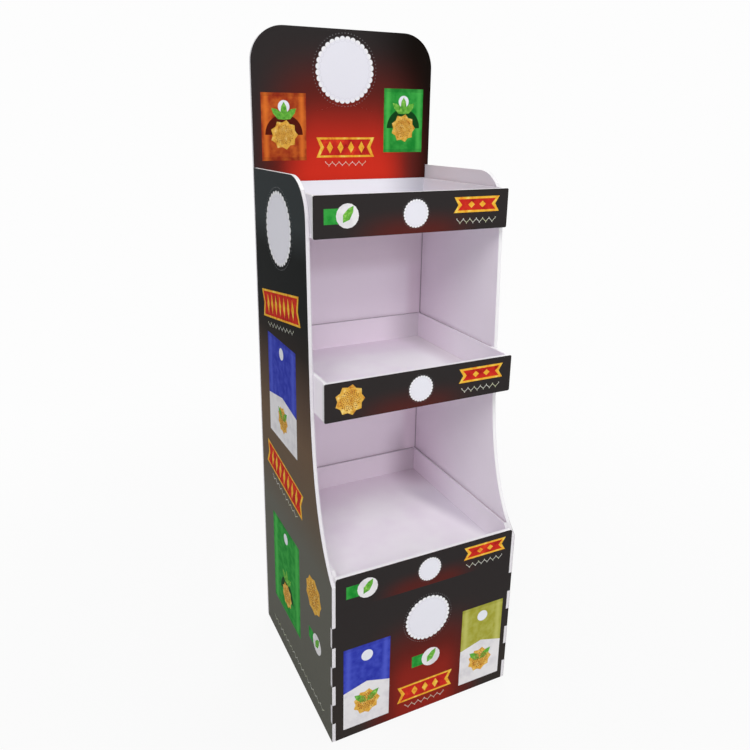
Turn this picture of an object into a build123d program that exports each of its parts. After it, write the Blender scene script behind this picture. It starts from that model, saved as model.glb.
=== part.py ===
from build123d import *
from math import cos, pi, radians, sin
import os

# Display shelf of foam board: flat boards, cut with finger joints and glued into a stepped tower of
# three open trays under a printed header.
# Millimetres. +Z is up, the shelf faces -Y, and the origin is on the floor, in the middle.

# Boards and films
board = 7.0                   # every foam board
print_film = 0.5              # printed film on the outer faces
film_lift = 0.5               # the films stop this far above the floor
tray_gap = 0.3                # round each tray, to the boards it is glued between
finger_gap = 0.2              # above and below each finger, in its notch
rib_gap = 0.3                 # round the ribs inside the base
eased_edge = 0.8              # small bevel along the top of a tray's walls

# The tower, from the floor up
stand_width = 400.0           # over the two side boards
stand_depth = 397.0           # from the rear of the back board to the face of the base front
base_height = 363.0           # base front board
low_wall_show = 6.0           # the low tray's walls stand this far above the base front
low_bay = 278.0               # clear height from the low tray's walls to the middle tray
high_bay = 240.0              # clear height from the middle tray's walls to the top tray
side_rise = 28.0              # side boards above the top tray's walls
header_rise = 266.0           # header above the side boards
header_corner_radius = 68.0

# Trays
tray_height = 71.0
tray_recess = 8.0             # the floor sits this far up inside the walls
top_tray_depth = 301.0        # from the face of the back board to the face of the tray front
middle_tray_depth = 345.0
tray_front_lap = 1.5          # the tray fronts stand out this far past the walls' outer faces
tray_front_drop = 1.0         # and hang this far below the walls
tray_corner_radius = 3.0      # corners of the tray fronts

# Outline of the side boards, as depths in front of the back board
side_top_depth = 279.0
side_waist_depth = 292.0
waist_above_tray = 58.0       # the front edge starts to flare this far above the middle tray's underside
flare_upper_pull = 118.0      # how long the flare keeps the direction of the edge above it
flare_lower_pull = 113.0      # and of its foot
flare_foot_angle = 45.6       # degrees from the upright, at the foot
flare_foot_drop = 15.0        # the foot of the flare lies this far below the base front's top
side_corner_radius = 72.0

# Finger joints of the base front
finger_height = 43.5
finger_count = 3
front_corner_radius = 5.0

# Print: round badges with a scalloped edge
badge_scallops = 26
small_badge_scallops = 14
scallop_depth = 3.0
header_badge_radius = 65.0
header_badge_drop = 77.0      # centre below the header's top
side_badge_radius = 70.0
side_badge_drop = 103.0       # centre below the side's top
side_badge_reach = 142.0      # centre in front of the back board
poster_badge_radius = 50.0
poster_badge_drop = 145.0     # centre below the base front's top
poster_print_shift = 3.0      # the sheet on the base front lies this far to the right
strip_badge_radius = 25.0     # on the tray fronts and on the strip along the base front's top

# Print: upright cards, each with a sun and a sprig of leaves
header_card_gap = 23.0        # to the badge between the cards
header_card_height = 130.0
header_card_margin = 18.0     # to the header's sides
header_card_lift = 106.0      # centre above the top tray
header_card_step = 14.0       # the right card sits this much higher
poster_card_gap = 32.0        # to the badge between the cards
poster_card_height = 184.0
poster_card_margin = 20.0
poster_card_lift = 112.0      # centre above the floor
side_card_width = 162.0
side_card_height = 216.0
side_card_reach = 142.0       # centre in front of the back board
upper_card_lift = 628.0       # centre above the floor
lower_card_lift = 214.0
card_foot_height = 84.0       # white lower part of a two-tone card, at its sides
card_foot_rise = 14.0         # and how much higher it peaks in the middle
sun_radius = 29.0
sun_rays = 9
sun_ray_depth = 5.0
sun_lift = 50.0               # centre above a card's lower edge
large_sun_radius = 40.0

# Print: ribbons, leaves and leaf badges
ribbon_tail = 9.0             # depth of the notch in a ribbon's tail
ribbon_border = 4.0
lozenge_pitch = 24.0          # along the middle of a ribbon
lozenge_width = 14.0
header_ribbon_gap = 22.0      # to the cards beside it
header_ribbon_height = 40.0
header_ribbon_lift = 66.0     # centre above the top tray
side_ribbon_width = 216.0
side_ribbon_height = 56.0
side_ribbon_tilt = 8.0        # degrees
upper_ribbon_lift = 806.0     # centre above the floor
lower_ribbon_lift = 444.0
poster_ribbon_gap = 19.0      # to the cards beside it
poster_ribbon_height = 38.0
poster_ribbon_lift = 52.0
strip_ribbon_gap = 52.0       # to the badge in the strip's middle
strip_ribbon_height = 28.0
strip_ribbon_rise = 9.0       # centre above the middle of its strip
strip_margin = 18.0           # from a strip's end to its outer shape
strip_height = 70.0           # printed strip along the base front's top
leaf_length = 34.0
leaf_width = 15.0
roundel_radius = 21.0
roundel_sides = 16
plate_width = 44.0
plate_height = 26.0
side_sun_reach = 300.0
side_sun_lift = 268.0
side_roundel_reach = 316.0
side_roundel_lift = 168.0
poster_roundel_lift = 122.0

# Print: pools of red light in the black ground
header_glow_margin = 62.0     # from the header's sides
header_glow_height = 210.0
header_glow_lift = 44.0       # centre above the top tray
side_glow_width = 172.0
side_glow_height = 440.0
side_glow_reach = 180.0
side_glow_lift = 640.0
poster_glow_margin = 78.0
poster_glow_height = 206.0
poster_glow_lift = 62.0

# Places that follow from the sizes
half_width = stand_width / 2
inner_half = half_width - board
rear_y = (stand_depth + print_film) / 2
back_face_y = rear_y - board
front_y = rear_y - stand_depth
base_reach = stand_depth - board
low_tray_bottom = base_height + low_wall_show - tray_height
middle_tray_bottom = low_tray_bottom + tray_height + low_bay
top_tray_bottom = middle_tray_bottom + tray_height + high_bay
top_tray_top = top_tray_bottom + tray_height
side_height = top_tray_top + side_rise
header_height = side_height + header_rise


def box_between(x_range, y_range, z_range):
    # A board that runs square to the axes, given by its two faces each way.
    sizes = [high - low for low, high in (x_range, y_range, z_range)]
    centre = [(low + high) / 2 for low, high in (x_range, y_range, z_range)]
    return Pos(*centre) * Box(*sizes)


def rectangle_between(low_u, high_u, low_v, high_v):
    return Pos((low_u + high_u) / 2, (low_v + high_v) / 2) * Rectangle(high_u - low_u, high_v - low_v)


def facing_front(y):
    # Flat shapes on this plane read x to the right and z up, seen from the front.
    return Plane(origin=(0, y, 0), x_dir=(1, 0, 0), z_dir=(0, -1, 0))


# On the left side board, flat shapes read forward from the back board and up from the floor.
left_face = Plane(origin=(-half_width, back_face_y, 0), x_dir=(0, -1, 0), z_dir=(-1, 0, 0))


# Back board, with the header in one piece
def back_outline():
    sheet = rectangle_between(-half_width, half_width, 0, header_height)
    top_corners = sheet.vertices().group_by(Axis.Y)[-1]
    return fillet(top_corners, header_corner_radius)


def back_board():
    return extrude(facing_front(back_face_y) * back_outline(), amount=-board)


def header_print_outline():
    # The print stops at the top tray's walls and at the side boards.
    above_tray = rectangle_between(-half_width, half_width, top_tray_top, header_height)
    outline = back_outline() & above_tray
    for low_x, high_x in ((-half_width, -inner_half), (inner_half, half_width)):
        outline -= rectangle_between(low_x, high_x, top_tray_top, side_height)
    return outline


# Side boards: upright above, flaring forward to the base, notched for the base front's fingers
def finger_bands():
    return [(finger_height * (2 * i + 1), finger_height * (2 * i + 2)) for i in range(finger_count)]


def side_sheet():
    waist = Vector(side_waist_depth, middle_tray_bottom + waist_above_tray)
    foot = Vector(base_reach, base_height - flare_foot_drop)
    top = Vector(side_top_depth, side_height)
    edge_direction = (waist - top).normalized()
    foot_direction = Vector(sin(radians(flare_foot_angle)), -cos(radians(flare_foot_angle)))
    upper_pull = waist + edge_direction * flare_upper_pull
    lower_pull = foot - foot_direction * flare_lower_pull
    flare = Bezier(waist, upper_pull, lower_pull, foot)
    rest = Polyline(foot, (base_reach, 0), (0, 0), (0, side_height), top, waist)
    sheet = make_face(rest + flare)
    corner = sheet.vertices().sort_by_distance((top.X, top.Y, 0))[0]
    return fillet(corner, side_corner_radius)


def side_outline():
    sheet = side_sheet()
    for low_z, high_z in finger_bands():
        sheet -= rectangle_between(base_reach - board, base_reach + board, low_z, high_z)
    return sheet


def left_side_board():
    return extrude(left_face * side_outline(), amount=-board)


# Base front board: it stands between the side boards, and its fingers reach through their notches
def base_front_outline():
    sheet = rectangle_between(-inner_half, inner_half, 0, base_height)
    top_corners = sheet.vertices().group_by(Axis.Y)[-1]
    sheet = fillet(top_corners, front_corner_radius)
    for low_z, high_z in finger_bands():
        sheet += rectangle_between(-half_width, half_width, low_z + finger_gap, high_z - finger_gap)
    return sheet


def base_front_board():
    return extrude(facing_front(front_y) * base_front_outline(), amount=-board)


# Trays: a floor between glued walls, and on the two upper trays a front that laps the walls' ends
def wall(x_range, y_range, z_range):
    piece = box_between(x_range, y_range, z_range)
    top_edges = piece.faces().sort_by(Axis.Z)[-1].edges()
    return chamfer(top_edges, eased_edge)


def tray_walls_and_floor(bottom, front_end_y):
    outer_x = inner_half - tray_gap
    inner_x = outer_x - board
    rear = back_face_y - tray_gap
    levels = (bottom, bottom + tray_height)
    floor_levels = (bottom + tray_recess, bottom + tray_recess + board)
    return {
        "left_wall": wall((-outer_x, -inner_x), (front_end_y, rear), levels),
        "right_wall": wall((inner_x, outer_x), (front_end_y, rear), levels),
        "back_wall": wall((-inner_x, inner_x), (rear - board, rear), levels),
        "floor": box_between((-inner_x, inner_x), (front_end_y, rear - board), floor_levels),
    }


def tray_front_outline(bottom):
    outer_x = inner_half - tray_gap + tray_front_lap
    sheet = rectangle_between(-outer_x, outer_x, bottom - tray_front_drop, bottom + tray_height)
    return fillet(sheet.vertices(), tray_corner_radius)


def tray_front(bottom, depth):
    return extrude(facing_front(back_face_y - depth) * tray_front_outline(bottom), amount=-board)


# Inside the base: a bottom board, and two ribs halved into each other under the low tray's floor
rib_half_slot = board / 2 + rib_gap
rib_top = low_tray_bottom + tray_recess
rib_mid = (board + rib_top) / 2
wall_notch = tray_gap + board + rib_gap
base_middle_y = (front_y + board + back_face_y) / 2


def bottom_board():
    return box_between((-inner_half, inner_half), (front_y + board, back_face_y), (0, board))


def rib_across():
    end_x = inner_half - rib_gap
    faces_y = (base_middle_y - board / 2, base_middle_y + board / 2)
    rib = box_between((-end_x, end_x), faces_y, (board, rib_top))
    for side in (-1, 1):
        low_x, high_x = sorted((side * inner_half, side * (inner_half - wall_notch)))
        rib -= box_between((low_x, high_x), (front_y, back_face_y), (low_tray_bottom - rib_gap, rib_top))
    slot_z = (board, rib_mid + rib_gap)
    return rib - box_between((-rib_half_slot, rib_half_slot), (front_y, back_face_y), slot_z)


def rib_fore_aft():
    ends_y = (front_y + board + rib_gap, back_face_y - rib_gap)
    rib = box_between((-board / 2, board / 2), ends_y, (board, rib_top))
    rear_notch = (back_face_y - wall_notch, back_face_y)
    rib -= box_between((-board, board), rear_notch, (low_tray_bottom - rib_gap, rib_top))
    slot_y = (base_middle_y - rib_half_slot, base_middle_y + rib_half_slot)
    return rib - box_between((-board, board), slot_y, (rib_mid, rib_top))


# Printed shapes, each in its own flat frame
def flat_shape(points):
    return make_face(Polyline(points, close=True))


def on_circle(radius, turn):
    return (radius * cos(turn), radius * sin(turn))


def scalloped_disc(radius, scallops):
    # Each scallop is a low, blunt tooth.
    step = 2 * pi / scallops
    root = radius - scallop_depth
    points = []
    for i in range(scallops):
        points.append(on_circle(root, i * step))
        points += [on_circle(radius, (i + share) * step) for share in (0.3, 0.7)]
    return flat_shape(points)


def sun(radius):
    step = pi / sun_rays
    return flat_shape([on_circle(radius - sun_ray_depth * (i % 2), i * step) for i in range(2 * sun_rays)])


def leaf():
    # It points along +u from its foot.
    shoulders = ((0.32 * leaf_length, leaf_width / 2), (0.74 * leaf_length, 0.36 * leaf_width))
    upper = [(0, 0), *shoulders, (leaf_length, 0)]
    return flat_shape(upper + [(u, -v) for u, v in reversed(shoulders)])


def sprig(place, turns):
    return [("leaf_fields", place * Rot(0, 0, turn) * leaf()) for turn in turns]


def lozenge(half_u, half_v):
    return flat_shape([(half_u, 0), (0, half_v), (-half_u, 0), (0, -half_v)])


def ribbon(place, width, height):
    # A bordered band with a notched tail at each end, and lozenges along its middle.
    def band(half_u, half_v):
        tail = half_u - ribbon_tail
        right_end = [(half_u, -half_v), (tail, 0), (half_u, half_v)]
        return flat_shape(right_end + [(-u, -v) for u, v in right_end])

    half_u, half_v = width / 2, height / 2
    lozenge_half = half_v - 2 * ribbon_border
    count = int((width - 4 * ribbon_tail) // lozenge_pitch)
    shapes = [
        ("ribbon_borders", place * band(half_u, half_v)),
        ("ribbons", place * band(half_u - 2 * ribbon_border, half_v - ribbon_border)),
    ]
    for i in range(count):
        u = (i - (count - 1) / 2) * lozenge_pitch
        shapes.append(("ribbon_borders", place * Pos(u, 0) * lozenge(lozenge_width / 2, lozenge_half)))
    return shapes


def plain_card(place, colour, width, height):
    sun_v = sun_lift - height / 2
    shapes = [
        (colour, place * Rectangle(width, height)),
        ("gold_fields", place * Pos(0, sun_v) * sun(sun_radius)),
    ]
    return shapes + sprig(place * Pos(0, sun_v + sun_radius), (40, 90, 140))


def two_tone_card(place, colour, width, height):
    low_v = -height / 2
    side_v = low_v + card_foot_height
    half_u = width / 2
    peak = (0, side_v + card_foot_rise)
    foot = flat_shape([(-half_u, low_v), (half_u, low_v), (half_u, side_v), peak, (-half_u, side_v)])
    shapes = [
        (colour, place * Rectangle(width, height)),
        ("white_fields", place * foot),
        ("gold_fields", place * Pos(0, low_v + sun_lift) * sun(sun_radius)),
    ]
    return shapes + sprig(place * Pos(0, low_v + sun_lift), (40, 140))


def leaf_badge(place):
    # A leaf on a white roundel, with a green plate behind it.
    shapes = [
        ("green_fields", place * Pos(-roundel_radius, 0) * Rectangle(plate_width, plate_height)),
        ("white_fields", place * RegularPolygon(roundel_radius, roundel_sides)),
    ]
    return shapes + sprig(place * Pos(-leaf_length / 4, -leaf_length / 3), (55,))


def red_pool(place, width, height):
    return [("red_fields", place * Ellipse(width / 2, height / 2))]


def badge(place, radius, scallops):
    return [("white_fields", place * scalloped_disc(radius, scallops))]


# The print on each face
def header_shapes():
    inner_x = header_badge_radius + header_card_gap
    card_width = half_width - header_card_margin - inner_x
    card_x = inner_x + card_width / 2
    low_z = top_tray_top + header_card_lift
    pool = Pos(0, top_tray_top + header_glow_lift)
    shapes = red_pool(pool, stand_width - 2 * header_glow_margin, header_glow_height)
    shapes += badge(Pos(0, header_height - header_badge_drop), header_badge_radius, badge_scallops)
    shapes += plain_card(Pos(-card_x, low_z), "orange_fields", card_width, header_card_height)
    high_card = Pos(card_x, low_z + header_card_step)
    shapes += plain_card(high_card, "green_fields", card_width, header_card_height)
    ribbon_place = Pos(0, top_tray_top + header_ribbon_lift)
    return shapes + ribbon(ribbon_place, 2 * (inner_x - header_ribbon_gap), header_ribbon_height)


def side_shapes():
    badge_place = Pos(side_badge_reach, side_height - side_badge_drop)
    upper_card = Pos(side_card_reach, upper_card_lift)
    lower_card = Pos(side_card_reach, lower_card_lift)
    shapes = red_pool(Pos(side_glow_reach, side_glow_lift), side_glow_width, side_glow_height)
    shapes += badge(badge_place, side_badge_radius, badge_scallops)
    shapes += two_tone_card(upper_card, "blue_fields", side_card_width, side_card_height)
    shapes += plain_card(lower_card, "green_fields", side_card_width, side_card_height)
    shapes += [("gold_fields", Pos(side_sun_reach, side_sun_lift) * sun(large_sun_radius))]
    for lift, tilt in ((upper_ribbon_lift, side_ribbon_tilt), (lower_ribbon_lift, -side_ribbon_tilt)):
        place = Pos(side_card_reach, lift) * Rot(0, 0, tilt)
        shapes += ribbon(place, side_ribbon_width, side_ribbon_height)
    return shapes + leaf_badge(Pos(side_roundel_reach, side_roundel_lift))


def strip_shapes(middle_z):
    # A badge in the middle, a ribbon at the right.
    ribbon_left = strip_badge_radius + strip_ribbon_gap
    ribbon_right = inner_half - strip_margin
    ribbon_place = Pos((ribbon_left + ribbon_right) / 2, middle_z + strip_ribbon_rise)
    shapes = badge(Pos(0, middle_z), strip_badge_radius, small_badge_scallops)
    return shapes + ribbon(ribbon_place, ribbon_right - ribbon_left, strip_ribbon_height)


def strip_leaf_badge(middle_z):
    return leaf_badge(Pos(-inner_half + strip_margin + roundel_radius + plate_width / 2, middle_z))


def poster_shapes():
    # The whole sheet is laid a little to the right of the board's middle.
    inner_x = poster_badge_radius + poster_card_gap
    card_width = half_width - poster_card_margin - inner_x
    card_x = inner_x + card_width / 2
    strip_z = base_height - strip_height / 2
    left_card = Pos(-card_x, poster_card_lift)
    right_card = Pos(card_x, poster_card_lift)
    ribbon_place = Pos(0, poster_ribbon_lift)
    pool_width = stand_width - 2 * poster_glow_margin
    shapes = red_pool(Pos(0, poster_glow_lift), pool_width, poster_glow_height)
    shapes += two_tone_card(left_card, "blue_fields", card_width, poster_card_height)
    shapes += two_tone_card(right_card, "olive_fields", card_width, poster_card_height)
    shapes += badge(Pos(0, base_height - poster_badge_drop), poster_badge_radius, badge_scallops)
    shapes += ribbon(ribbon_place, 2 * (inner_x - poster_ribbon_gap), poster_ribbon_height)
    shapes += leaf_badge(Pos(roundel_radius / 2, poster_roundel_lift))
    shapes += strip_shapes(strip_z) + strip_leaf_badge(strip_z)
    return [(colour, Pos(poster_print_shift, 0) * shape) for colour, shape in shapes]


def top_tray_shapes():
    middle_z = top_tray_bottom + tray_height / 2
    return strip_shapes(middle_z) + strip_leaf_badge(middle_z)


def middle_tray_shapes():
    middle_z = middle_tray_bottom + tray_height / 2
    sun_place = Pos(-inner_half + strip_margin + sun_radius, middle_z)
    return strip_shapes(middle_z) + [("gold_fields", sun_place * sun(sun_radius))]


# Every shape is let into the film, flush: a later one cuts its place out of those before it
def lay_print(ground_name, plane, outline, shapes):
    fields = [(ground_name, outline)] + [("print_" + colour, shape & outline) for colour, shape in shapes]
    films = []
    for index, (name, field) in enumerate(fields):
        for _, above in fields[index + 1:]:
            field -= above
        films.append((name, extrude(plane * field, amount=print_film)))
    return films


def all_films():
    above_floor = rectangle_between(-stand_depth, stand_depth, film_lift, header_height)
    films = lay_print("left_side_print", left_face, side_outline() & above_floor, side_shapes())
    for name, film in list(films):
        films.append((name.replace("left", "right"), mirror(film, about=Plane.YZ)))
    header_plane = facing_front(back_face_y)
    films += lay_print("header_print", header_plane, header_print_outline(), header_shapes())
    poster_outline = base_front_outline() & above_floor
    films += lay_print("base_front_print", facing_front(front_y), poster_outline, poster_shapes())
    for name, bottom, depth, shapes in (
        ("top_tray_print", top_tray_bottom, top_tray_depth, top_tray_shapes()),
        ("middle_tray_print", middle_tray_bottom, middle_tray_depth, middle_tray_shapes()),
    ):
        films += lay_print(name, facing_front(back_face_y - depth), tray_front_outline(bottom), shapes)
    return films


def cut_low_walls_to_flare(boards):
    # The low tray's side walls end flush with the side boards' flared edge.
    between_sides = extrude(left_face * side_sheet(), amount=-stand_width)
    for name in ("low_tray_left_wall", "low_tray_right_wall"):
        boards[name] = boards[name] & between_sides


def all_boards():
    left_side = left_side_board()
    boards = {
        "back_board": back_board(),
        "left_side_board": left_side,
        "right_side_board": mirror(left_side, about=Plane.YZ),
        "base_front_board": base_front_board(),
        "base_bottom_board": bottom_board(),
        "base_rib_across": rib_across(),
        "base_rib_fore_aft": rib_fore_aft(),
        "top_tray_front": tray_front(top_tray_bottom, top_tray_depth),
        "middle_tray_front": tray_front(middle_tray_bottom, middle_tray_depth),
    }
    for name, bottom, front_end_y in (
        ("top_tray", top_tray_bottom, back_face_y - top_tray_depth + board),
        ("middle_tray", middle_tray_bottom, back_face_y - middle_tray_depth + board),
        ("low_tray", low_tray_bottom, front_y + board + tray_gap),
    ):
        for piece, solid in tray_walls_and_floor(bottom, front_end_y).items():
            boards[name + "_" + piece] = solid
    cut_low_walls_to_flare(boards)
    return boards


def main():
    nodes = {name: board_piece.solids() for name, board_piece in all_boards().items()}
    for name, film in all_films():
        nodes.setdefault(name, []).extend(film.solids())
    os.makedirs("parts", exist_ok=True)
    for name, solids in nodes.items():
        export_step(solids[0] if len(solids) == 1 else Compound(children=list(solids)), f"parts/{name}.step")
    print(len(nodes), "nodes written")


main()
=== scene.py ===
from math import pi, radians
import bmesh
import bpy
from mathutils import Euler, Matrix, Vector


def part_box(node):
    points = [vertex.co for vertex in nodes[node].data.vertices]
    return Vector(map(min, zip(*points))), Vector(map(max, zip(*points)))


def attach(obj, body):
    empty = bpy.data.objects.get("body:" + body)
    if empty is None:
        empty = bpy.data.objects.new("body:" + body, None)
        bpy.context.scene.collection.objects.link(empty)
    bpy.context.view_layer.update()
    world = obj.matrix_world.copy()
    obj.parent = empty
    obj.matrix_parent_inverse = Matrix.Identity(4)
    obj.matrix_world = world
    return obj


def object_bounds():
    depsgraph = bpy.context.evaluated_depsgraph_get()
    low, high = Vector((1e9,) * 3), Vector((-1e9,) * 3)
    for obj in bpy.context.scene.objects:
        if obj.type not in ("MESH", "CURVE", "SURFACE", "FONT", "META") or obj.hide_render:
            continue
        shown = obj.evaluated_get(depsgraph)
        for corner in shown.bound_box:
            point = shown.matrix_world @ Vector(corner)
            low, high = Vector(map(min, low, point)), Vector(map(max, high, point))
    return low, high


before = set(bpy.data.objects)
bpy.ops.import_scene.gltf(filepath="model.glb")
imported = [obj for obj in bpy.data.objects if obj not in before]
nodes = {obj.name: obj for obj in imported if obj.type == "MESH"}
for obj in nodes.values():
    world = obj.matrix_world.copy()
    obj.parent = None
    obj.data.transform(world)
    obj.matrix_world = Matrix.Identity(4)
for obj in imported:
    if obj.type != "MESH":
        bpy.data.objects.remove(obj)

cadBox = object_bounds()


# Node maths as plain Python: an Ink is a socket that the operators work on
class Ink:
    def __init__(self, wiring, socket):
        self.wiring = wiring
        self.socket = socket

    def maths(self, operation, *values):
        return self.wiring.node("ShaderNodeMath", {"operation": operation}, list(values))

    def __add__(self, other):
        return self.maths("ADD", self, other)

    def __radd__(self, other):
        return self.maths("ADD", other, self)

    def __sub__(self, other):
        return self.maths("SUBTRACT", self, other)

    def __rsub__(self, other):
        return self.maths("SUBTRACT", other, self)

    def __mul__(self, other):
        return self.maths("MULTIPLY", self, other)

    def __rmul__(self, other):
        return self.maths("MULTIPLY", other, self)

    def __truediv__(self, other):
        return self.maths("DIVIDE", self, other)

    def __rtruediv__(self, other):
        return self.maths("DIVIDE", other, self)

    def __abs__(self):
        return self.maths("ABSOLUTE", self)

    def __gt__(self, other):
        return self.maths("GREATER_THAN", self, other)

    def __lt__(self, other):
        return self.maths("LESS_THAN", self, other)

    def sine(self):
        return self.maths("SINE", self)

    def cosine(self):
        return self.maths("COSINE", self)

    def root(self):
        return self.maths("SQRT", self)

    def part(self):
        return self.maths("FRACT", self)

    def angle(self, across):
        return self.maths("ARCTAN2", self, across)

    def least(self, other):
        return self.maths("MINIMUM", self, other)

    def most(self, other):
        return self.maths("MAXIMUM", self, other)

    def smooth(self, low, high):
        # 0 below low, 1 above high, eased between
        settings = {"interpolation_type": "SMOOTHSTEP"}
        limits = {"Value": self, "From Min": low, "From Max": high}
        return self.wiring.node("ShaderNodeMapRange", settings, limits)

    def within(self, low, high):
        return (self > low) * (self < high)


class Wiring:
    def __init__(self, tree):
        self.tree = tree

    def node(self, kind, settings, inputs, output=0):
        made = self.tree.nodes.new(kind)
        for key, value in settings.items():
            if key == "stops":
                self.setStops(made.color_ramp, value)
            else:
                setattr(made, key, value)
        for key, value in inputs.items() if isinstance(inputs, dict) else enumerate(inputs):
            if isinstance(value, Ink):
                self.tree.links.new(value.socket, made.inputs[key])
            else:
                made.inputs[key].default_value = value
        return Ink(self, made.outputs[output])

    def setStops(self, ramp, stops):
        while len(ramp.elements) > 1:
            ramp.elements.remove(ramp.elements[-1])
        for index, (position, colour) in enumerate(stops):
            stop = ramp.elements[0] if index == 0 else ramp.elements.new(position)
            stop.position = position
            stop.color = (*colour, 1)


class Recipe(Wiring):
    def __init__(self, name):
        self.material = bpy.data.materials.new(name)
        self.material.use_nodes = True
        super().__init__(self.material.node_tree)
        self.tree.nodes.clear()
        self.output = self.tree.nodes.new("ShaderNodeOutputMaterial")
        self.place = self.node("ShaderNodeTexCoord", {}, {}, "Object")
        self.facing = self.node("ShaderNodeTexCoord", {}, {}, "Normal")
        self.x, self.y, self.z = self.split(self.place)

    def split(self, vector):
        made = self.node("ShaderNodeSeparateXYZ", {}, [vector]).socket.node
        return [Ink(self, made.outputs[axis]) for axis in range(3)]

    def noise(self, scale, detail=2.0, roughness=0.5):
        inputs = {"Vector": self.place, "Scale": scale, "Detail": detail, "Roughness": roughness}
        return self.node("ShaderNodeTexNoise", {}, inputs, "Fac")

    def blend(self, share, low, high, way="MIX"):
        # Two colours, the second one by share
        inputs = {0: share, 6: colourOf(low), 7: colourOf(high)}
        return self.node("ShaderNodeMix", {"data_type": "RGBA", "blend_type": way}, inputs, 2)

    def bump(self, height, strength, distance):
        inputs = {"Height": height, "Strength": strength, "Distance": distance}
        return self.node("ShaderNodeBump", {}, inputs)

    def finish(self, inputs):
        shader = self.node("ShaderNodeBsdfPrincipled", {}, inputs)
        self.tree.links.new(shader.socket, self.output.inputs["Surface"])
        return self.material


def colourOf(value):
    return value if isinstance(value, Ink) else (*value, 1)


# Levels and faces that the boards' painted shades, the print and the raised ink are placed by
def corners(name):
    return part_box(name)


headerTop = corners("header_print")[1].z
trayTop = corners("header_print")[0].z
sideTop = corners("left_side_print")[1].z
baseTop = corners("base_front_print")[1].z
backFace = corners("header_print")[1].y
halfWidth = corners("back_board")[1].x
topTrayMiddle = sum(corner.z for corner in corners("top_tray_print")) / 2
middleTrayMiddle = sum(corner.z for corner in corners("middle_tray_print")) / 2
posterShift = 0.003                                       # the sheet on the base lies this far right
stripHeight = 0.070
stripMiddle = baseTop - stripHeight / 2
aboveBase = (baseTop - 0.01, baseTop + 0.03)              # the sides' front edges come clear of the base here
lowWallTop = baseTop + 0.01                               # only the low tray's walls end under this
hair = 0.0005                                             # how far past a face a test of place reaches
squarely = 0.7                                            # above this a face counts as facing along an axis
bayHalf = corners("right_side_board")[0].x                # inner faces of the side boards
boardFront = corners("back_board")[0].y
topTrayFoot = corners("top_tray_floor")[0].z - hair
wallBack = (corners("middle_tray_right_wall")[1].x, corners("middle_tray_back_wall")[1].y)
sideFront = -0.094                                        # the sides' front edge beside the middle tray's top

# Foam board: smooth satin faces, and cut edges that are rougher and greyer; in the bays, the top tray and on
# some edges it carries painted light and shade
boardLook = {
    "face": (0.925, 0.87, 0.94),
    "faceShade": (0.905, 0.845, 0.92),
    "edge": (0.78, 0.76, 0.79),
    "edgeShade": (0.72, 0.695, 0.73),
    "edgeLit": (0.88, 0.87, 0.89),                        # painted light on the front edge of the right side, above the base
    "edgeLitTilt": 0.8,                                   # it ends where the edge turns upward
    "edgeTopLit": (0.95, 0.94, 0.955),                       # painted light: edges that face up come out whiter
    "arrisShade": (0.62, 0.60, 0.64),                          # painted shade on the inner line of the left side's front edge
    "arrisWidth": 0.0013,
    # painted light: the floors take a paler tone than the other faces
    "floor": (0.98, 0.965, 0.99),
    "deep": (0.94, 0.835, 0.935),                         # the back of the bays, where light has bounced most
    "deepPlace": (-0.04, 0.14),
    "deepFloor": (0.06, 0.20),
    "lowPlace": (0.46, 0.36),                             # from the middle bay down to the low tray
    "corner": (0.58, 0.48, 0.565),                        # painted shade in the low tray's back corners
    "cornerSideShade": (0.86, 0.735, 0.85),
    "cornerPlace": (0.09, 0.17),
    "cornerDepth": (-0.02, 0.18),
    "cornerShare": 0.25,                                  # how much of it reaches the middle of the tray
    "middleCornerShade": (0.67, 0.59, 0.665),                  # painted shade at the ends of the middle tray's back wall
    "middleCornerPlace": (0.08, 0.17),
    "lowBandShade": (0.65, 0.60, 0.68),                        # painted shade on the low floor along the foot of its right wall
    "lowBandPlace": (0.12, 0.165),
    "lowBandDepth": (0.15, 0.04),
    "lowBandLean": 0.3,                                   # it narrows towards the front
    "middleBandShade": (0.76, 0.70, 0.75),                     # and painted shade on the middle floor
    "middleBandPlace": (0.12, 0.175),
    "under": (0.80, 0.68, 0.77),                          # painted shade on the back board close under the top tray
    "underPlace": (0.815, 0.86),
    "band": (0.85, 0.71, 0.82),                           # painted shade on the back board close to the sides
    "bandPlace": (0.145, 0.174),
    "open": (0.83, 0.825, 0.88),                          # painted shade: the top tray, in the open, takes darker tones
    "openSideShade": (0.75, 0.72, 0.78),
    "openCornerShade": (0.48, 0.475, 0.53),                    # painted shade on its back wall, towards the right end
    "openCornerPlace": (0.07, 0.185),
    # painted shade in the seams where boards meet, and on the tray walls' tops
    "seam": (0.46, 0.37, 0.44),
    "wallTopShade": (0.62, 0.575, 0.635),
    "seamWidth": 0.0015,                                  # painted shade in the corners of the bays
    "topSeamWidth": 0.0034,                                # and along the outer edges of the tray walls' tops
    "cloudScale": 7.0,
    "clouds": (0.35, 0.7),
    "grainScale": 900.0,
    "grainHeight": 0.15,
    "grainRoughness": 0.06,
    "cutScale": 420.0,
    "cells": (0.35, 0.75),
    "bump": (0.25, 0.0004),
    "faceRoughness": 0.42,
    "edgeRoughness": 0.7,
    "specular": 0.35,
}


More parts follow.
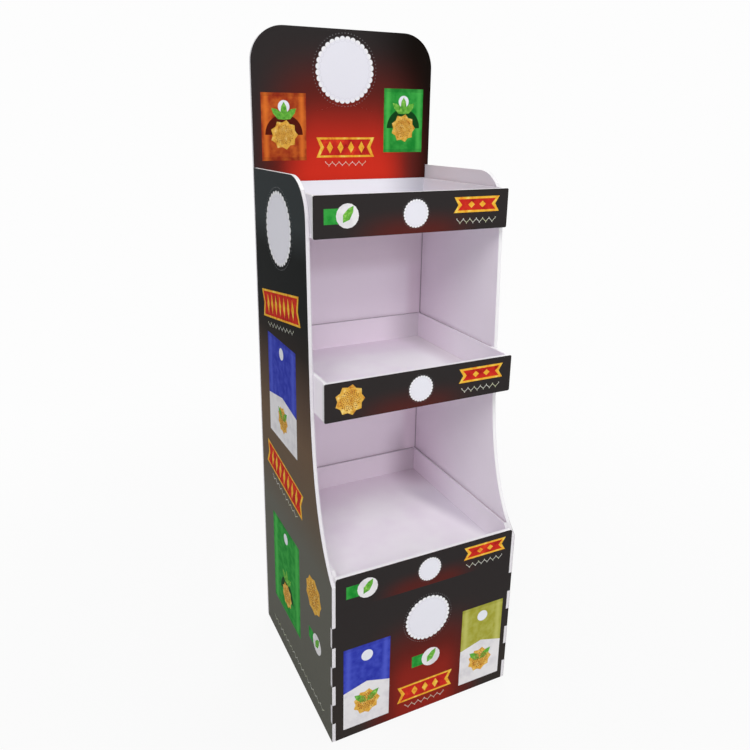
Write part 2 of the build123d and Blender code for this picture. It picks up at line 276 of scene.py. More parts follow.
class BoardRecipe(Recipe):
    # A board whose sheet lies across one axis; the trays' upright walls have painted shades of their own
    def __init__(self, axis, wall):
        super().__init__(("trayWall" if wall else "foamBoard") + "XYZ"[axis])
        self.axis, self.wall = axis, wall
        self.width, self.depth = abs(self.x), self.y
        self.turned = self.split(self.facing)
        self.upward = self.turned[2] > squarely
        inside = (self.width < bayHalf + hair) * (self.depth < boardFront + hair)
        self.inBay = inside * (self.z < topTrayFoot)
        self.inTray = inside * (self.z > topTrayFoot)
        self.low = self.z.smooth(*boardLook["lowPlace"])

    def face(self):
        look, axis, depth, low = boardLook, self.axis, self.depth, self.low
        clouds = self.noise(look["cloudScale"], 3.0).smooth(*look["clouds"])
        # Painted light: the floors are paler than the other faces
        face = self.blend(clouds, look["floor" if axis == 2 else "face"], look["faceShade"])
        deep = depth.smooth(*look["deepFloor" if axis == 2 else "deepPlace"])
        face = self.blend(deep * self.inBay, face, look["deep"])
        # Painted shade in the low tray's back corners
        aside = look["cornerShare"] + self.width.smooth(*look["cornerPlace"]) * (1 - look["cornerShare"])
        inCorner = aside * depth.smooth(*look["cornerDepth"]) * low
        face = self.blend(inCorner * self.inBay, face, look["cornerSideShade" if axis == 0 else "corner"])
        # Painted shade: the top tray's boards take darker tones than the bays'
        face = self.blend(self.inTray, face, look["openSideShade" if axis == 0 else "open"])
        if axis == 2:
            # Painted shade on the floors along the foot of the right walls
            lowBandShade = (self.x + depth * look["lowBandLean"]).smooth(*look["lowBandPlace"])
            lowBandShade = lowBandShade * depth.smooth(*look["lowBandDepth"]) * low
            middleBandShade = self.x.smooth(*look["middleBandPlace"]) * (1 - low)
            face = self.blend(lowBandShade * self.inBay, face, look["lowBandShade"])
            face = self.blend(middleBandShade * self.inBay, face, look["middleBandShade"])
        elif axis == 1 and self.wall:
            # Painted shade at the ends of the middle tray's back wall, and towards the right end of the top
            # tray's
            middleCornerShade = self.width.smooth(*look["middleCornerPlace"]) * (1 - low)
            face = self.blend(middleCornerShade * self.inBay, face, look["middleCornerShade"])
            openCornerShade = self.x.smooth(*look["openCornerPlace"])
            face = self.blend(openCornerShade * self.inTray, face, look["openCornerShade"])
        elif axis == 1:
            # Painted shade on the back board close to the sides, and close under the top tray
            face = self.blend(self.width.smooth(*look["bandPlace"]) * self.inBay, face, look["band"])
            face = self.blend(self.z.smooth(*look["underPlace"]) * self.inBay, face, look["under"])
        return face

    def edge(self, cells):
        look = boardLook
        edge = self.blend(cells.smooth(*look["cells"]), look["edge"], look["edgeShade"])
        if self.axis == 0 and not self.wall:
            # Painted light on the right side's front edge, above the base
            lit = (self.x > bayHalf - hair) * (self.turned[2] < look["edgeLitTilt"])
            edge = self.blend(lit * self.z.smooth(*aboveBase), edge, look["edgeLit"])
            # Painted shade on the inner line of the left side's front edge
            arrisShade = (self.x < 0) * (self.width < bayHalf + look["arrisWidth"]) * (self.z > baseTop)
            edge = self.blend(arrisShade, edge, look["arrisShade"])
        # Painted light: cut edges that face up are whiter
        edge = self.blend(self.upward, edge, look["edgeTopLit"])
        if self.wall:
            edge = self.blend(self.shadedTop(), edge, look["wallTopShade"])
        return edge

    def shadedTop(self):
        # Painted shade: the walls' tops are darkened beside the sides, and come out white in front of them
        beside = (self.depth > sideFront).most(self.z < lowWallTop)
        return self.upward * beside * (self.x > 0).most(self.depth > 0)

    def seam(self):
        look = boardLook
        if self.wall:
            behind = self.width if self.axis == 0 else self.depth
            return self.shadedTop() * (behind > wallBack[self.axis] - look["topSeamWidth"])
        # Painted shade: dark lines where the back board meets the sides, inside the bays
        if self.axis == 1:
            corner = (self.width > bayHalf - look["seamWidth"]) * (self.depth < boardFront + hair)
        else:
            corner = self.depth > boardFront - look["seamWidth"]
        return corner * (self.width < bayHalf + hair) * (self.depth > 0) * self.z.within(baseTop, trayTop)


def foamBoard(axis, wall=False):
    look = boardLook
    recipe = BoardRecipe(axis, wall)
    grain = recipe.noise(look["grainScale"], 2.0)
    cells = recipe.noise(look["cutScale"], 4.0, 0.7)
    cut = abs(recipe.turned[axis]) < squarely
    colour = recipe.blend(cut, recipe.face(), recipe.edge(cells))
    roughness = look["faceRoughness"] + cut * (look["edgeRoughness"] - look["faceRoughness"])
    height = grain * (1 - cut) * look["grainHeight"] + cells * cut
    return recipe.finish({
        # painted shade in the seams, over the board's colour
        "Base Color": recipe.blend(recipe.seam(), colour, look["seam"]),
        "Roughness": roughness + grain * look["grainRoughness"],
        "Normal": recipe.bump(height, *look["bump"]),
        "Specular IOR Level": look["specular"],
    })


boardAxis = {                                             # which way each board's sheet faces, 1 for the rest
    "side_board": 0, "left_wall": 0, "right_wall": 0, "rib_fore_aft": 0, "floor": 2, "bottom_board": 2,
}
foamBoards = [foamBoard(axis) for axis in range(3)]
trayWalls = [foamBoard(axis, True) for axis in range(2)]


def paint(name, material):
    slots = nodes[name].data.materials
    slots.clear()
    slots.append(material)


for name in nodes:
    if "print" not in name:
        ends = [axis for end, axis in boardAxis.items() if name.endswith(end)]
        kinds = trayWalls if name.endswith("_wall") else foamBoards
        paint(name, kinds[ends[0] if ends else 1])
print("boards done")


# Printed ground: near-black, with a pool of red light on each face
groundLook = {
    "black": (0.030, 0.026, 0.026),
    "rightBlack": (0.007, 0.005, 0.004),                  # painted shade: the header darkens towards its right edge, away from the sheen on its left
    "rightPlace": (0.02, 0.17),
    "footBlack": (0.036, 0.030, 0.027),
    "footPlace": (0.3, 0.0),
    "trimLit": (0.80, 0.78, 0.81),                           # painted light on the film's cut edge, right side, above the base
    "sideTonesAndSheen": [                                        # by height in metres: the side's print, with painted sheen that lifts it to grey towards the foot and at the top
        (0.0, (0.118, 0.118, 0.098)), (0.34, (0.128, 0.126, 0.106)), (0.45, (0.135, 0.098, 0.068)),
        (0.56, (0.150, 0.098, 0.062)), (0.66, (0.085, 0.056, 0.040)), (0.74, (0.020, 0.017, 0.015)),
        (0.80, (0.011, 0.012, 0.012)), (0.91, (0.011, 0.012, 0.012)), (0.97, (0.034, 0.040, 0.042)),
    ],
    "maroon": (0.115, 0.018, 0.014),
    "maroonPlace": (0.0, 0.45),                           # by the strength of the glow, as for the red
    "red": (0.62, 0.031, 0.016),
    "redPlace": (0.35, 1.0),
    "roughness": 0.5,
    "specular": 0.012,
    "grainScale": 1400.0,
    "grainTone": (0.93, 0.14),                            # the colour's darkest share, and how far it rises
    "grainHeight": 0.2,
    "peelScale": 260.0,                                   # orange peel
    "peelRoughness": 0.10,
    "peelBump": (0.12, 0.0002),
}
pools = {
    "header": {"face": "front", "from": trayTop, "to": headerTop, "centre": 0.0, "wide": (0.06, 0.235),
               "high": (1.02, 1.34), "strength": 1.0},
    "topTray": {"face": "front", "from": 0.95, "to": trayTop, "centre": 0.0, "wide": (0.03, 0.17),
                "high": (0.955, 1.015), "strength": 0.31},
    "middleTray": {"face": "front", "from": 0.64, "to": 0.72, "centre": -0.02, "wide": (0.03, 0.17),
                   "high": (0.645, 0.705), "strength": 0.25},
    "strip": {"face": "front", "from": baseTop - stripHeight, "to": 0.37, "centre": 0.0, "wide": (0.04, 0.14),
              "high": (0.295, 0.345), "strength": 0.30},
    "poster": {"face": "front", "from": 0.0, "to": baseTop - stripHeight, "centre": 0.0, "wide": (0.04, 0.17),
               "high": (0.08, 0.27), "strength": 0.58},
    "side": {"face": "side", "from": 0.0, "to": sideTop, "centre": 0.66, "wide": (0.03, 0.24),
             "high": (1.0, 2.0), "strength": 0.05},
}

# Round badges with a scalloped rim
badgeLook = {
    "fill": (0.80, 0.795, 0.86),
    "rim": (0.86, 0.855, 0.88),
    "line": (0.60, 0.59, 0.64),                           # faint scallops inside the rim
    "lineShare": 0.5,
    "linePlace": 0.92,                                    # in the lobes' radius
    "lineWidth": 0.16,
    "near": 1.18,                                         # in the badge's radius, as far as its print goes
    "blur": 0.0004,
}
badges = {
    "header": {"face": "front", "across": -0.0023, "up": headerTop - 0.077, "radius": 0.0645, "lobes": 32},
    "side": {"face": "side", "across": 0.142, "up": sideTop - 0.103, "radius": 0.070, "lobes": 32},
    "topTray": {"face": "front", "across": -0.0005, "up": topTrayMiddle - 0.0015, "radius": 0.025,
                "lobes": 26},
    "middleTray": {"face": "front", "across": -0.0041, "up": middleTrayMiddle - 0.0008, "radius": 0.025,
                   "lobes": 26},
    "strip": {"face": "front", "across": posterShift, "up": stripMiddle, "radius": 0.025, "lobes": 26},
    "poster": {"face": "front", "across": posterShift, "up": baseTop - 0.145, "radius": 0.0492, "lobes": 30},
}


class PrintRecipe(Recipe):
    # A film's recipe, with places along the faces: across and up, as the print was laid out
    def __init__(self, name):
        super().__init__(name)
        sideways = abs(self.split(self.facing)[0])
        self.onSide = sideways > squarely
        self.onFront = 1 - self.onSide
        self.reach = backFace - self.y
        self.grain = self.noise(groundLook["grainScale"], 2.0)

    def faceShare(self, face):
        return self.onSide if face == "side" else self.onFront

    def acrossOf(self, face):
        return self.reach if face == "side" else self.x

    def glow(self):
        total = 0
        for pool in pools.values():
            low, high = pool["wide"]
            full, none = pool["high"]
            along = self.z if pool["face"] == "side" else self.x
            spread = 1 - abs(along - pool["centre"]).smooth(low, high)
            share = spread * (1 - self.z.smooth(full, none)) * self.z.within(pool["from"], pool["to"])
            total = share * self.faceShare(pool["face"]) * pool["strength"] + total
        return total

    def ground(self):
        look = groundLook
        # The side's print by height, with painted sheen lifting it to grey towards the foot and at the top
        sideToneAndSheen = self.node("ShaderNodeValToRGB", {"stops": look["sideTonesAndSheen"]}, [self.z])
        black = self.blend(self.z.smooth(*look["footPlace"]), look["black"], look["footBlack"])
        # Painted shade: the header's black darkens towards its right edge
        toRight = self.x.smooth(*look["rightPlace"]) * (self.z > trayTop)
        black = self.blend(toRight, black, look["rightBlack"])
        black = self.blend(self.onSide, black, sideToneAndSheen)
        # Painted light on the right side film's cut edge, above the base
        trimLitShare = (self.x > halfWidth) * self.onFront * self.z.smooth(*aboveBase)
        black = self.blend(trimLitShare, black, look["trimLit"])
        glow = self.glow()
        warm = self.blend(glow.smooth(*look["maroonPlace"]), black, look["maroon"])
        return self.blend(glow.smooth(*look["redPlace"]), warm, look["red"])

    def badgeShares(self, badge):
        # How much of a point is inside the badge, on its rim, on its inner line, and near it at all
        look = badgeLook
        blur = look["blur"]
        step = pi / badge["lobes"]
        lobe = badge["radius"] * step / (1 + step)
        middle = badge["radius"] - lobe
        across = self.acrossOf(badge["face"]) - badge["across"]
        up = self.z - badge["up"]
        distance = (across * across + up * up).root()
        aside = ((up.angle(across) / (2 * step) + badge["lobes"]).part() - 0.5) * (2 * step * middle)
        outward = distance - middle
        fromLobe = (outward * outward + aside * aside).root()
        inLobe = 1 - fromLobe.smooth(lobe - blur, lobe + blur)
        inMiddle = distance < middle
        onFace = self.faceShare(badge["face"])
        inside = inLobe.most(inMiddle) * onFace
        line = 1 - abs(fromLobe - lobe * look["linePlace"]).smooth(0, lobe * look["lineWidth"])
        line = line * inMiddle * (distance > middle - lobe)
        near = (distance < badge["radius"] * look["near"]) * onFace
        return inside, inLobe * (1 - inMiddle), line, near

    def printed(self):
        # The ground with the badges on it, and whether a point is near any of them
        colour = self.ground()
        look = badgeLook
        allNear = 0
        for badge in badges.values():
            inside, rim, line, near = self.badgeShares(badge)
            disc = self.blend(rim, look["fill"], look["rim"])
            disc = self.blend(line * look["lineShare"], disc, look["line"])
            colour = self.blend(inside, colour, disc)
            allNear = near + allNear
        return colour, allNear

    def finishFilm(self, colour):
        look = groundLook
        peel = self.noise(look["peelScale"], 2.0)
        darkest, rise = look["grainTone"]
        return self.finish({
            "Base Color": self.blend(1.0, colour, self.shadeOf(darkest + self.grain * rise), "MULTIPLY"),
            "Roughness": look["roughness"] + peel * look["peelRoughness"],
            "Normal": self.bump(peel + self.grain * look["grainHeight"], *look["peelBump"]),
            "Specular IOR Level": look["specular"],
        })

    def shadeOf(self, value):
        return self.node("ShaderNodeCombineXYZ", {}, [value, value, value])


def groundFilm():
    recipe = PrintRecipe("printedGround")
    return recipe.finishFilm(recipe.printed()[0])


# Cards, like flat pouches: a sheen along both edges, crimped ends, a pale seal and a dark dome
cardLook = {
    "mottleScale": 60.0,
    "mottle": (0.3, 0.75),
    "sheenPlace": 0.40,                                   # in the card's width, from its middle
    "sheenWidth": 0.10,
    "sheen": 0.7,
    "crimp": 0.007,
    "crimpPitch": 0.0022,
    "crimpShare": 0.45,
    "sealDrop": 0.026,
    "sealRadius": 0.0125,
    "sealBlur": 0.0008,
    "seal": (0.78, 0.80, 0.86),
    "domeRadius": 0.040,
    "domeBlur": 0.001,
    "sunLift": 0.050,                                     # the sun's middle, above the card's foot
}
headerCard = {"face": "front", "width": 0.094, "height": 0.130}
posterCard = {"face": "front", "up": 0.112, "width": 0.098, "height": 0.184}
sideCard = {"face": "side", "across": 0.142, "width": 0.162, "height": 0.216}
cards = {
    "headerLeft": {**headerCard, "across": -0.135, "up": trayTop + 0.106},
    "headerRight": {**headerCard, "across": 0.135, "up": trayTop + 0.120},
    "posterLeft": {**posterCard, "across": posterShift - 0.131},
    "posterRight": {**posterCard, "across": posterShift + 0.131},
    "sideUpper": {**sideCard, "up": 0.628},
    "sideLower": {**sideCard, "up": 0.214},
}
inks = {
    "print_green_fields": {"cards": ("headerRight", "sideLower"), "base": (0.012, 0.235, 0.030),
                           "light": (0.08, 0.50, 0.09), "dark": (0.008, 0.055, 0.012)},
    "print_orange_fields": {"cards": ("headerLeft",), "base": (0.30, 0.030, 0.012),
                            "light": (0.80, 0.20, 0.030), "dark": (0.085, 0.010, 0.006)},
    "print_blue_fields": {"cards": ("sideUpper", "posterLeft"), "base": (0.028, 0.040, 0.38),
                          "light": (0.09, 0.12, 0.62), "dark": (0.020, 0.020, 0.20)},
    "print_olive_fields": {"cards": ("posterRight",), "base": (0.34, 0.33, 0.035),
                           "light": (0.55, 0.55, 0.16), "dark": (0.20, 0.21, 0.02)},
}


def cardInk(name):
    look, ink = cardLook, inks[name]
    recipe = PrintRecipe(name)
    paler = [(base + light) / 2 for base, light in zip(ink["base"], ink["light"])]
    colour = recipe.blend(recipe.noise(look["mottleScale"], 3.0).smooth(*look["mottle"]), ink["base"], paler)

    def disc(across, up, radius, blur):
        return 1 - (across * across + up * up).root().smooth(radius - blur, radius)

    for card in [cards[cardName] for cardName in ink["cards"]]:
        across = recipe.acrossOf(card["face"]) - card["across"]
        up = recipe.z - card["up"]
        reach = card["height"] / 2
        onCard = recipe.faceShare(card["face"]) * (abs(across) < card["width"] / 2) * (abs(up) < reach)
        sheen = 1 - abs(abs(across) / card["width"] - look["sheenPlace"]).smooth(0.0, look["sheenWidth"])
        colour = recipe.blend(sheen * onCard * look["sheen"], colour, ink["light"])
        sunUp = up + reach - look["sunLift"]
        dome = disc(across, sunUp, look["domeRadius"], look["domeBlur"]) * (sunUp > 0)
        colour = recipe.blend(dome * onCard, colour, ink["dark"])
        seal = disc(across, up - reach + look["sealDrop"], look["sealRadius"], look["sealBlur"])
        colour = recipe.blend(seal * onCard, colour, look["seal"])
        crimped = (abs(up) > reach - look["crimp"]) * onCard
        ribs = (across * (2 * pi / look["crimpPitch"])).sine() * 0.5 + 0.5
        colour = recipe.blend(crimped * ribs * look["crimpShare"], colour, ink["dark"])
    return recipe.finishFilm(colour)


# White fields: the badges, the roundels and the white feet of the two-tone cards
whiteLook = {
    "white": (0.80, 0.785, 0.80),
    "shade": (0.62, 0.60, 0.64),
    "shadeShare": 0.6,
    "creaseScale": 38.0,
    "creases": (0.42, 0.72),
}


def whiteInk():
    look = whiteLook
    recipe = PrintRecipe("whitePrint")
    badged, near = recipe.printed()
    creases = recipe.noise(look["creaseScale"], 3.0, 0.6).smooth(*look["creases"])
    plain = recipe.blend(creases * look["shadeShare"], look["white"], look["shade"])
    return recipe.finishFilm(recipe.blend(near, plain, badged))


# Mottled inks: a base, a lighter and a darker tone in fine streaks
streakedInks = {
    "print_leaf_fields": {"base": (0.13, 0.42, 0.05), "light": (0.36, 0.66, 0.14),
                          "dark": (0.05, 0.22, 0.03), "scale": 170.0},
    "print_gold_fields": {"base": (0.72, 0.40, 0.06), "light": (0.86, 0.66, 0.22),
                          "dark": (0.50, 0.17, 0.025), "scale": 120.0},
    "print_ribbons": {"base": (0.56, 0.025, 0.018), "light": (0.74, 0.055, 0.02),
                      "dark": (0.33, 0.012, 0.012), "scale": 45.0},
    "print_ribbon_borders": {"base": (0.84, 0.45, 0.04), "light": (0.90, 0.70, 0.14),
                             "dark": (0.74, 0.20, 0.02), "scale": 90.0},
}
streaksOf = {"light": (0.5, 0.72), "dark": (0.3, 0.48)}


def streakedInk(name):
    ink = streakedInks[name]
    recipe = PrintRecipe(name)
    streaks = recipe.noise(ink["scale"], 4.0, 0.6)
    colour = recipe.blend(streaks.smooth(*streaksOf["light"]), ink["base"], ink["light"])
    colour = recipe.blend(1 - streaks.smooth(*streaksOf["dark"]), colour, ink["dark"])
    return recipe.finishFilm(colour)


ground = groundFilm()
for name in nodes:
    if name in inks:
        paint(name, cardInk(name))
    elif name in streakedInks:
        paint(name, streakedInk(name))
    elif name == "print_white_fields":
        paint(name, whiteInk())
    elif "print" in name:
        paint(name, ground)
print("print done")


# Geometry trees: raised ink that repeats or follows a line, grown flat and then laid on its face
class Pattern(Wiring):
    def __init__(self, name, inputs):
        tree = bpy.data.node_groups.new(name, "GeometryNodeTree")
        super().__init__(tree)
        tree.interface.new_socket("Geometry", in_out="OUTPUT", socket_type="NodeSocketGeometry")
        kinds = {int: "NodeSocketInt", float: "NodeSocketFloat"}
        self.keys = {}
        for key, value in inputs.items():
            made = tree.interface.new_socket(key, in_out="INPUT", socket_type=kinds[type(value)])
            made.default_value = value
            self.keys[key] = made.identifier
        self.given = tree.nodes.new("NodeGroupInput")

    def value(self, key):
        return Ink(self, self.given.outputs[key])

    def finish(self, geometry, material):
        whole = self.node("GeometryNodeRealizeInstances", {}, [geometry])
        inked = self.node("GeometryNodeSetMaterial", {}, {"Geometry": whole, "Material": material})
        output = self.tree.nodes.new("NodeGroupOutput")
        self.tree.links.new(inked.socket, output.inputs[0])

    def grow(self, values):
        # The tree's result as a plain mesh
        holder = bpy.data.objects.new(self.tree.name, bpy.data.meshes.new(self.tree.name))
        bpy.context.scene.collection.objects.link(holder)
        modifier = holder.modifiers.new("pattern", "NODES")
        modifier.node_group = self.tree
        for key, value in values.items():
            modifier[self.keys[key]] = value
        grown = holder.evaluated_get(bpy.context.evaluated_depsgraph_get())
        mesh = bpy.data.meshes.new_from_object(grown)
        holder.modifiers.remove(modifier)
        bpy.data.objects.remove(holder)
        return mesh


# Where a face's print stands in space: across, up and out of the face
faceTurns = {
    "front": Matrix(((1, 0, 0), (0, 0, -1), (0, 1, 0))),
    "left": Matrix(((0, 0, -1), (-1, 0, 0), (0, 1, 0))),
    "right": Matrix(((0, 0, 1), (1, 0, 0), (0, 1, 0))),
}
facePlanes = {
    "header": corners("header_print")[0].y,
    "topTray": corners("top_tray_print")[0].y,
    "middleTray": corners("middle_tray_print")[0].y,
    "poster": corners("base_front_print")[0].y,
    "side": corners("left_side_print")[0].x,
}


def layOn(sheet, across, up, tilt=0.0):
    # One placement on a front face, or one on each side
    spin = Matrix.Rotation(radians(tilt), 4, "Z")
    if sheet != "side":
        place = Matrix.Translation((across, facePlanes[sheet], up))
        return [place @ faceTurns["front"].to_4x4() @ spin]
    left = Matrix.Translation((facePlanes["side"], backFace - across, up)) @ faceTurns["left"].to_4x4()
    right = Matrix.Translation((-facePlanes["side"], backFace - across, up)) @ faceTurns["right"].to_4x4()
    return [left @ spin, right @ spin.inverted()]


def makePiece(name, pattern, placements):
    # Grows the pattern once for each placement and joins the results in one mesh
    joined = bmesh.new()
    for values, places in placements:
        mesh = pattern.grow(values)
        material = mesh.materials[-1]                     # an empty slot comes before it
        for place in places:
            copy = mesh.copy()
            copy.transform(place)
            joined.from_mesh(copy)
            bpy.data.meshes.remove(copy)
    for face in joined.faces:
        face.material_index = 0
    bmesh.ops.recalc_face_normals(joined, faces=joined.faces)
    whole = bpy.data.meshes.new(name)
    joined.to_mesh(whole)
    joined.free()
    whole.materials.append(material)
    piece = bpy.data.objects.new(name, whole)
    bpy.context.scene.collection.objects.link(piece)
    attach(piece, "root")
    print(name, len(whole.polygons), "faces")


relief = 0.00006                                          # how far the raised ink stands out

# A ring of fine beads round each badge; outset and size are in the badge's radius
beadLook = {
    "outset": 1.085,
    "size": 0.0105,
    "beadsToLobe": 2,
    "ink": (0.42, 0.42, 0.44),
    "speckle": (0.30, 0.30, 0.32),
    "speckleScale": 300.0,
}


def speckledInk(name, look):
    recipe = PrintRecipe(name)
    speckles = recipe.noise(look["speckleScale"], 2.0).smooth(0.4, 0.65)
    return recipe.finishFilm(recipe.blend(speckles, look["ink"], look["speckle"]))


def makeBeadRings():
    look = beadLook
    pattern = Pattern("beadRing", {"Beads": 64, "Radius": 0.05, "Size": 0.0005, "Relief": relief})
    ring = pattern.node("GeometryNodeMeshCircle", {}, {
        "Vertices": pattern.value("Beads"), "Radius": pattern.value("Radius")})
    bead = pattern.node("GeometryNodeMeshCylinder", {}, {
        "Vertices": 8, "Radius": pattern.value("Size"), "Depth": pattern.value("Relief") * 2})
    beads = pattern.node("GeometryNodeInstanceOnPoints", {}, {"Points": ring, "Instance": bead})
    pattern.finish(beads, speckledInk("beadInk", look))
    placements = []
    for name, badge in badges.items():
        radius = badge["radius"]
        values = {"Radius": radius * look["outset"], "Size": radius * look["size"],
                  "Beads": badge["lobes"] * look["beadsToLobe"]}
        sheet = "poster" if name == "strip" else name
        placements.append((values, layOn(sheet, badge["across"], badge["up"])))
    makePiece("badge_beads", pattern, placements)


# Seed heads on the suns, in the spiral that sunflowers grow in
seedLook = {
    "seeds": 90,
    "share": 0.66,                                        # of the sun's radius
    "size": 0.0013,
    "sizes": (0.75, 1.15),                                # least and greatest, at random
    "draw": 7,
    "goldenTurn": 2.399963,
    "ink": (0.24, 0.070, 0.018),
    "speckle": (0.50, 0.22, 0.05),
    "speckleScale": 420.0,
}
sunRadius = 0.029
suns = [                                                  # one on each card, then two by themselves
    (sheet, card["across"], card["up"] - card["height"] / 2 + cardLook["sunLift"], sunRadius)
    for name, card in cards.items() for sheet in ("header", "poster", "side") if name.startswith(sheet)
]
suns += [("side", 0.300, 0.268, 0.040), ("middleTray", -0.146, middleTrayMiddle, sunRadius)]


def makeSeedHeads():
    look = seedLook
    pattern = Pattern("seedHead", {
        "Seeds": look["seeds"], "Radius": 0.02, "Size": look["size"], "Relief": relief})
    index = pattern.node("GeometryNodeInputIndex", {}, {})
    share = ((index + 0.5) / pattern.value("Seeds")).root() * pattern.value("Radius")
    turn = index * look["goldenTurn"]
    spot = pattern.node("ShaderNodeCombineXYZ", {}, [share * turn.cosine(), share * turn.sine(), 0.0])
    points = pattern.node("GeometryNodePoints", {}, {"Count": pattern.value("Seeds"), "Position": spot})
    seed = pattern.node("GeometryNodeMeshUVSphere", {}, {"Segments": 8, "Rings": 4, "Radius": 1.0})
    least, greatest = look["sizes"]
    random = pattern.node("FunctionNodeRandomValue", {"data_type": "FLOAT"}, {
        2: least, 3: greatest, "Seed": look["draw"]}, 1)
    width = pattern.value("Size") * random
    size = pattern.node("ShaderNodeCombineXYZ", {}, [width, width, pattern.value("Relief")])
    seeds = pattern.node("GeometryNodeInstanceOnPoints", {}, {
        "Points": points, "Instance": seed, "Scale": size})
    pattern.finish(seeds, speckledInk("seedInk", look))
    placements = []
    for sheet, across, up, radius in suns:
        values = {"Radius": radius * look["share"], "Size": look["size"] * radius / sunRadius}
        placements.append((values, layOn(sheet, across, up)))
    makePiece("seed_heads", pattern, placements)


# Vines under the ribbons: a waving stem with a bud at each crest
vineLook = {
    "stem": 0.0009,
    "wave": 0.0024,
    "bud": 0.0019,
    "budWave": 1.7,                                       # the buds stand this much further out than the stem
    "budRelief": 2.2,
    "drop": 0.0195,                                       # under the middle of a tray's front
    "ink": (0.78, 0.78, 0.74),
    "speckle": (0.62, 0.66, 0.42),
    "speckleScale": 90.0,
}
vines = [                                                 # sheet, across, up, tilt, length, waves
    ("header", 0.0, trayTop + 0.033, 0.0, 0.092, 6),
    ("topTray", 0.126, topTrayMiddle - vineLook["drop"], 0.0, 0.084, 6),
    ("middleTray", 0.126, middleTrayMiddle - vineLook["drop"], 0.0, 0.084, 6),
    ("poster", 0.129, stripMiddle - vineLook["drop"], 0.0, 0.084, 6),
    ("poster", posterShift, 0.020, 0.0, 0.090, 6),
    ("side", 0.142, 0.763, 8.0, 0.150, 8),
    ("side", 0.142, 0.401, -8.0, 0.150, 8),
    ("side", 0.200, 0.036, 0.0, 0.300, 16),
]


def makeVines():
    look = vineLook
    pattern = Pattern("vine", {"Length": 0.1, "Waves": 6, "Height": look["wave"], "Stem": look["stem"],
                               "Bud": look["bud"], "Relief": relief})
    half = pattern.value("Length") / 2
    start = pattern.node("ShaderNodeCombineXYZ", {}, [half * -1, 0.0, 0.0])
    end = pattern.node("ShaderNodeCombineXYZ", {}, [half, 0.0, 0.0])
    line = pattern.node("GeometryNodeCurvePrimitiveLine", {}, {"Start": start, "End": end})

    def waved(count, height):
        run = pattern.node("GeometryNodeResampleCurve", {}, {"Curve": line, "Count": count})
        along = pattern.node("GeometryNodeSplineParameter", {}, {}, "Factor")
        rise = (along * pattern.value("Waves") * (2 * pi) + pi / 2).sine() * height
        lift = pattern.node("ShaderNodeCombineXYZ", {}, [0.0, rise, 0.0])
        return pattern.node("GeometryNodeSetPosition", {}, {"Geometry": run, "Offset": lift})

    stem = waved(pattern.value("Waves") * 12 + 1, pattern.value("Height"))
    section = pattern.node("GeometryNodeCurvePrimitiveQuadrilateral", {}, {
        "Width": pattern.value("Stem"), "Height": pattern.value("Relief") * 2})
    tube = pattern.node("GeometryNodeCurveToMesh", {}, {
        "Curve": stem, "Profile Curve": section, "Fill Caps": True})
    crests = waved(pattern.value("Waves") * 2 + 1, pattern.value("Height") * look["budWave"])
    bud = pattern.node("GeometryNodeMeshCylinder", {}, {
        "Vertices": 10, "Radius": pattern.value("Bud") * 0.5,
        "Depth": pattern.value("Relief") * look["budRelief"]})
    buds = pattern.node("GeometryNodeInstanceOnPoints", {}, {"Points": crests, "Instance": bud})
    both = pattern.tree.nodes.new("GeometryNodeJoinGeometry")
    for part in (tube, buds):
        pattern.tree.links.new(part.socket, both.inputs[0])
    pattern.finish(Ink(pattern, both.outputs[0]), speckledInk("vineInk", look))
    placements = []
    for sheet, across, up, tilt, length, waves in vines:
        placements.append(({"Length": length, "Waves": waves}, layOn(sheet, across, up, tilt)))
    makePiece("vines", pattern, placements)


makeBeadRings()
makeSeedHeads()
makeVines()
print("raised ink done")


# Camera, as the photograph was taken
cameraView = {
    "place": (-0.598443, -1.137768, 1.134987),
    "heading": -24.702,
    "pitch": -16.260,
    "roll": 0.303,
    "lens": 32.394,
    "sensor": 36.0,
    "shift": (0.03268, -0.06764),
    "clip": (0.05, 60.0),
}


def makeCamera():
    view = cameraView
    data = bpy.data.cameras.new("camera")
    data.lens = view["lens"]
    data.sensor_width = view["sensor"]
    data.shift_x, data.shift_y = view["shift"]
    data.clip_start, data.clip_end = view["clip"]
    camera = bpy.data.objects.new("camera", data)
    turn = Euler((0, 0, radians(view["heading"]))).to_matrix()
    tilt = Euler((radians(90 + view["pitch"]), 0, 0)).to_matrix()
    lean = Euler((0, 0, radians(view["roll"]))).to_matrix()
    camera.matrix_world = (turn @ tilt @ lean).to_4x4()
    camera.location = view["place"]
    bpy.context.scene.collection.objects.link(camera)
    bpy.context.scene.camera = camera


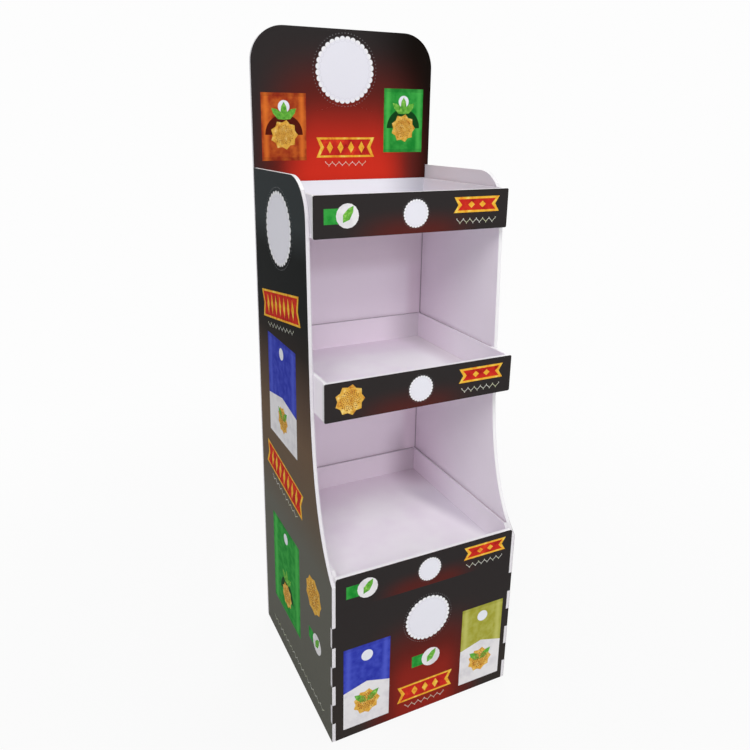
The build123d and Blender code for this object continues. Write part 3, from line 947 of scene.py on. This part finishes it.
# Floor, world and lamps
studio = {
    "floorSize": 12.0,
    "white": 0.982,
    "floorNear": 0.92,                                    # how white the camera sees it near the shelf
    "fade": (0.35, 1.8),                                  # and from where to where it turns fully white
    "floorTone": 0.78,
    "ambient": 0.36,
    "key": {"place": (-2.05, -3.7, 5.0), "size": 3.4, "power": 209},
    "fill": {"place": (0.55, -3.45, 1.95), "size": 1.3, "power": 20},
    "back": {"place": (2.4, 3.1, 2.4), "size": 2.6, "power": 80},
}


def seenRays(wiring):
    path = wiring.tree.nodes.new("ShaderNodeLightPath")
    kinds = ("Is Camera Ray", "Is Glossy Ray", "Is Transmission Ray")
    camera, glossy, through = [Ink(wiring, path.outputs[kind]) for kind in kinds]
    return camera.most(glossy).most(through)


def makeFloor():
    bpy.ops.mesh.primitive_plane_add(size=studio["floorSize"])
    floor = bpy.context.object
    floor.name = "floor"
    floor.location.z = cadBox[0].z
    recipe = Recipe("paleFloor")
    soft = recipe.node("ShaderNodeBsdfDiffuse", {}, {"Color": (*[studio["floorTone"]] * 3, 1)})
    white = recipe.node("ShaderNodeEmission", {}, {"Color": (1, 1, 1, 1), "Strength": studio["white"]})
    distance = (recipe.x * recipe.x + recipe.y * recipe.y).root()
    fade = distance.smooth(*studio["fade"])
    seen = seenRays(recipe) * (studio["floorNear"] + fade * (1 - studio["floorNear"]))
    mixed = recipe.node("ShaderNodeMixShader", {}, [seen, soft, white])
    recipe.tree.links.new(mixed.socket, recipe.output.inputs["Surface"])
    floor.data.materials.append(recipe.material)


def makeWorld():
    world = bpy.data.worlds.new("studio")
    world.use_nodes = True
    bpy.context.scene.world = world
    wiring = Wiring(world.node_tree)
    backdrop = world.node_tree.nodes["Background"]
    backdrop.inputs["Color"].default_value = (1, 1, 1, 1)
    strength = studio["ambient"] + seenRays(wiring) * (studio["white"] - studio["ambient"])
    world.node_tree.links.new(strength.socket, backdrop.inputs["Strength"])


def makeLamp(name):
    settings = studio[name]
    data = bpy.data.lights.new(name, "AREA")
    data.size = settings["size"]
    data.energy = settings["power"]
    lamp = bpy.data.objects.new(name, data)
    lamp.location = settings["place"]
    aim = (cadBox[0] + cadBox[1]) / 2 - Vector(settings["place"])
    lamp.rotation_euler = aim.to_track_quat("-Z", "Y").to_euler()
    bpy.context.scene.collection.objects.link(lamp)


makeCamera()
makeFloor()
makeWorld()
for name in ("key", "fill", "back"):
    makeLamp(name)
bpy.context.scene.view_settings.view_transform = "Standard"
print("studio done")
